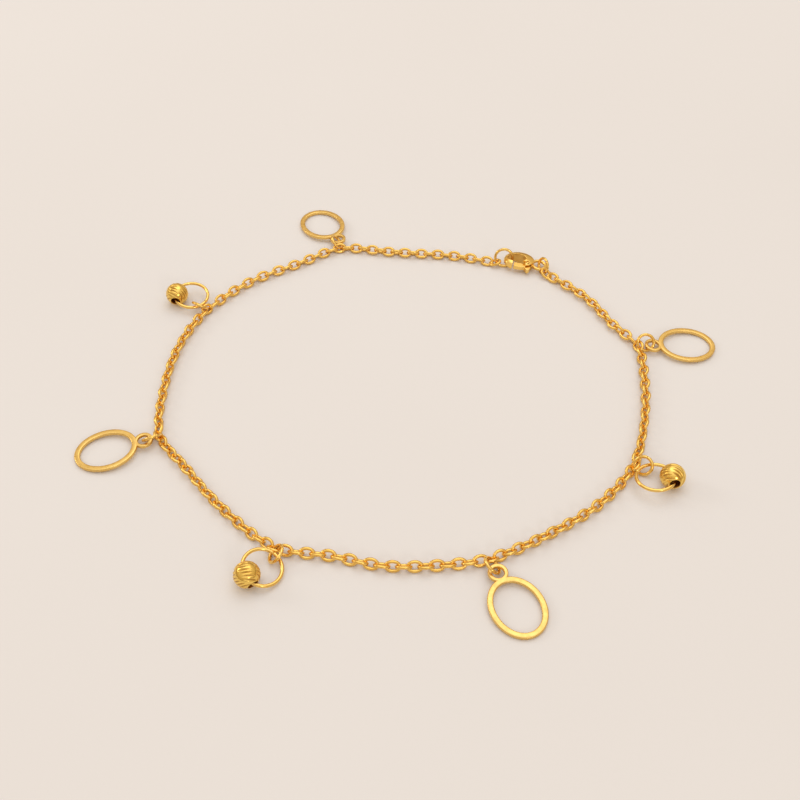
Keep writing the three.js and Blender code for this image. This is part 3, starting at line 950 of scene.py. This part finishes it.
def claspNumbers():
    c = claspSetup
    front = c["length"] / 2 - c["hookWall"]
    tip = front - c["hookTip"]
    halfWidth = c["width"] / 2 - c["spineWall"]
    return {
        "front": front,
        "centre": front - c["mouthLength"] / 2,
        "rear": front - c["mouthLength"],
        "halfWidth": halfWidth,
        "tip": tip,
        "pivotX": tip - c["leverReach"],
        "pivotY": halfWidth - c["pivotInset"],
        "inner": c["width"] / 2 - c["leverArm"],
        "eye": (c["length"] + c["eyeOuter"]) / 2 - c["eyeOverlap"],
        "hole": c["pin"] / 2 + c["pinClearance"],
    }


def workObject(name, mesh):
    piece = bpy.data.objects.new(name, mesh)
    bpy.context.scene.collection.objects.link(piece)
    return piece


def plateFrom(name, outline, thickness):
    count = len(outline)
    points = [(x, y, z) for z in (-thickness / 2, thickness / 2) for x, y in outline]
    faces = [(k, (k + 1) % count, count + (k + 1) % count, count + k) for k in range(count)]
    faces.append(tuple(range(count))[::-1])
    faces.append(tuple(range(count, 2 * count)))
    return workObject(name, faceOut(meshFrom(name, points, faces)))


def ellipsePlate(name, x, y, halfLength, halfWidth, thickness, sides):
    angles = [2 * math.pi * k / sides for k in range(sides)]
    outline = [(x + halfLength * math.cos(a), y + halfWidth * math.sin(a)) for a in angles]
    return plateFrom(name, outline, thickness)


def blockPlate(name, lowX, highX, lowY, highY, thickness):
    outline = [(lowX, lowY), (highX, lowY), (highX, highY), (lowX, highY)]
    return plateFrom(name, outline, thickness)


def pinHolePlate(name, thickness):
    n = claspNumbers()
    return ellipsePlate(
        name, n["pivotX"], n["pivotY"], n["hole"], n["hole"], thickness, claspSetup["holeSides"])


def bakeModifiers(piece):
    graph = bpy.context.evaluated_depsgraph_get()
    graph.update()
    mesh = bpy.data.meshes.new_from_object(piece.evaluated_get(graph), depsgraph=graph)
    piece.modifiers.clear()
    piece.data = mesh


def combine(target, tool, operation):
    modifier = target.modifiers.new("combine", "BOOLEAN")
    modifier.operation = operation
    modifier.solver = "EXACT"
    modifier.object = tool
    bakeModifiers(target)
    bpy.data.objects.remove(tool)


# Fine voxels and a little smoothing give the soft edges of a cast and tumbled part
def castSmooth(piece, voxel):
    remesh = piece.modifiers.new("cast", "REMESH")
    remesh.mode = "VOXEL"
    remesh.voxel_size = voxel
    smooth = piece.modifiers.new("tumble", "SMOOTH")
    smooth.factor = claspSetup["smoothFactor"]
    smooth.iterations = claspSetup["smoothing"]
    bakeModifiers(piece)


def domeShape():
    c = claspSetup
    around, along = c["domeSides"]
    mesh = bpy.data.meshes.new("dome")
    work = bmesh.new()
    bmesh.ops.create_uvsphere(work, u_segments=around, v_segments=along, radius=1)
    work.to_mesh(mesh)
    work.free()
    size = Matrix.Diagonal((c["domeLength"] / 2, c["domeWidth"] / 2, c["thickness"] / 2, 1))
    mesh.transform(Matrix.Translation((-c["tail"], 0, 0)) @ size)
    return workObject("dome", mesh)


def finishClasp(piece, name, material, matrix, body, node):
    mesh = piece.data
    mesh.transform(matrix @ Matrix.Scale(mm, 4))
    bpy.data.objects.remove(piece)
    mesh.materials.clear()
    mesh.name = name
    addPiece(name, faceOut(mesh), material, body, node)


def makeClaspBody(material, matrix):
    c, n = claspSetup, claspNumbers()
    sides, outlineTall = c["outlineSides"], c["thickness"] * c["outlineTall"]
    body = ellipsePlate("claspOutline", 0, 0, c["length"] / 2, c["width"] / 2, outlineTall, sides)
    combine(body, domeShape(), "INTERSECT")
    eyeRadius = (c["eyeOuter"] - c["eyeWire"]) / 2
    eyeSection = roundSection(c["eyeWire"], c["eyeWireSides"])
    eye = ovalBand("eye", eyeRadius, eyeRadius, eyeSection, c["eyeSides"])
    eye.transform(Matrix.Translation((-n["eye"], 0, 0)))
    combine(body, workObject("eye", faceOut(eye)), "UNION")
    tall = c["thickness"] * c["cutterTall"]
    mouth = ellipsePlate("mouth", n["centre"], 0, c["mouthLength"] / 2, n["halfWidth"], tall, sides)
    combine(body, mouth, "DIFFERENCE")
    inner = n["inner"] - c["sideGap"]
    window = blockPlate("window", n["rear"], n["tip"] + c["tipGap"], inner, c["width"], tall)
    combine(body, window, "DIFFERENCE")
    # The slot that the lever's root turns in opens into the mouth
    rear = n["pivotX"] - c["leverRoot"] - c["sideGap"]
    front = n["centre"] - c["mouthLength"] * c["slotEnd"]
    inner = n["pivotY"] - c["leverRoot"] - c["sideGap"]
    slot = blockPlate("slot", rear, front, inner, c["width"], c["leverThickness"] + 2 * c["sideGap"])
    combine(body, slot, "DIFFERENCE")
    combine(body, pinHolePlate("pinHole", tall), "DIFFERENCE")
    castSmooth(body, c["voxel"])
    finishClasp(body, "claspBody", material, matrix, "bracelet", "clasp_body")


# The thumb tab's outline: two curves that rise from the lever's root and meet at the tab's tip
def thumbOutline():
    c, n = claspSetup, claspNumbers()
    x, y, root = n["pivotX"], n["pivotY"], c["leverRoot"]
    top = c["width"] / 2 + c["thumbReach"]
    front = [(x + root, y), (x + root, top - c["thumbReach"]), (x, top)]
    back = [(x, top), (x - root * c["thumbBack"], top - c["thumbReach"] * c["thumbDip"]), (x - root, y)]
    outline = [(x - root, y), (x + root, y)]
    for start, control, end in (front, back):
        for k in range(1, c["thumbSteps"] + 1):
            t = k / c["thumbSteps"]
            outline.append(tuple(
                (1 - t) ** 2 * a + 2 * t * (1 - t) * b + t * t * d
                for a, b, d in zip(start, control, end)
            ))
    return outline[:-1]


def makeClaspLever(material, matrix):
    c, n = claspSetup, claspNumbers()
    x, y, root, thickness = n["pivotX"], n["pivotY"], c["leverRoot"], c["leverThickness"]
    arm = ellipsePlate("arm", 0, 0, c["length"] / 2, c["width"] / 2, thickness, c["outlineSides"])
    combine(arm, blockPlate("armEnds", x, n["tip"], n["inner"], c["width"], c["thickness"]), "INTERSECT")
    rootPlate = ellipsePlate("root", x, y, root, root, thickness * c["rootThinner"], c["rootSides"])
    combine(arm, rootPlate, "UNION")
    combine(arm, plateFrom("thumb", thumbOutline(), thickness * c["thumbThinner"]), "UNION")
    combine(arm, pinHolePlate("leverHole", c["thickness"]), "DIFFERENCE")
    castSmooth(arm, c["voxel"] * c["leverVoxel"])
    finishClasp(arm, "claspLever", material, matrix, "lever", "clasp_lever")


# The pin reaches through the dome, and its two ends are riveted over into low round heads
def makeClaspPin(material, matrix):
    c, n = claspSetup, claspNumbers()
    x, y = (n["pivotX"] + c["tail"]) / (c["domeLength"] / 2), n["pivotY"] / (c["domeWidth"] / 2)
    half = c["thickness"] / 2 * math.sqrt(1 - x * x - y * y)
    rings = []
    for k in range(1, c["pinSteps"] + 1):
        angle = math.pi / 2 * k / c["pinSteps"]
        rings.append((c["pin"] / 2 * math.sin(angle), -half + c["pinHead"] * (1 - math.cos(angle))))
    rings += [(r, -z) for r, z in reversed(rings)]
    sides = c["pinSides"]
    points = [(n["pivotX"], n["pivotY"], -half)]
    for r, z in rings:
        for k in range(sides):
            angle = 2 * math.pi * k / sides
            points.append((n["pivotX"] + r * math.cos(angle), n["pivotY"] + r * math.sin(angle), z))
    points.append((n["pivotX"], n["pivotY"], half))
    top = 1 + (len(rings) - 1) * sides
    faces = []
    for k in range(sides):
        following = (k + 1) % sides
        faces.append((0, 1 + following, 1 + k))
        for a in range(1, top, sides):
            faces.append((a + k, a + following, a + sides + following, a + sides + k))
        faces.append((top + k, top + following, len(points) - 1))
    pin = workObject("pin", faceOut(meshFrom("pin", points, faces)))
    finishClasp(pin, "claspPin", material, matrix, "bracelet", "clasp_pin")


# The clasp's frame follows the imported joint, so that the pin stands where the lever turns
def claspMatrix():
    turn, lift = math.radians(claspSetup["turn"]), math.radians(claspSetup["lift"])
    along = Vector((math.cos(turn) * math.cos(lift), math.sin(turn) * math.cos(lift), math.sin(lift)))
    normal = Vector(lever["axis"]).normalized()
    across = normal.cross(along).normalized()
    n = claspNumbers()
    place = Vector(lever["pos_m"]) - (along * n["pivotX"] + across * n["pivotY"]) * mm
    return basis(along, across, place)


addCamera()
addWorld()
addFloor()
for entry in lightSetup:
    addLight(*entry)
print("stage: camera, floor and lights are set")

marksAndShade = makeMarksAndShadeGroup()
gold = {name: makeGold(name, marksAndShade) for name in goldLooks}
paintBoreShade(gold["cut"])

polished = gold["polished"]
hookRing = makeRing("clasp_hook_ring", ringSetup["hookWire"], polished, ringSetup["hookSeam"])
eyeRing = makeRing("clasp_eye_ring", ringSetup["wire"], polished, ringSetup["eyeSeam"])
charmRings = []
for k in range(len(charmStops)):
    ring = makeRing(f"jump_ring_{k + 1}", ringSetup["wire"], polished, ringSetup["charmSeam"])
    charmRings.append(ring)
print("stage: jump rings are made")

makeChain(gold["chain"], hookRing, eyeRing)

for number, carrier in enumerate(ovalSetup["rings"], 1):
    makeOval(number, gold["oval"], charmRings[carrier - 1][0])
print("stage: oval charms are made")

for number, carrier in enumerate(beadSetup["rings"], 1):
    ring = makeRing(f"wire_ring_{number}", beadSetup["wire"], polished, -charmRings[carrier - 1][0])
    makeBead(number, gold["cut"], *ring)
print("stage: bead charms are made")

place = claspMatrix()
makeClaspBody(polished, place)
makeClaspLever(polished, place)
makeClaspPin(polished, place)
print("stage: the clasp is made")
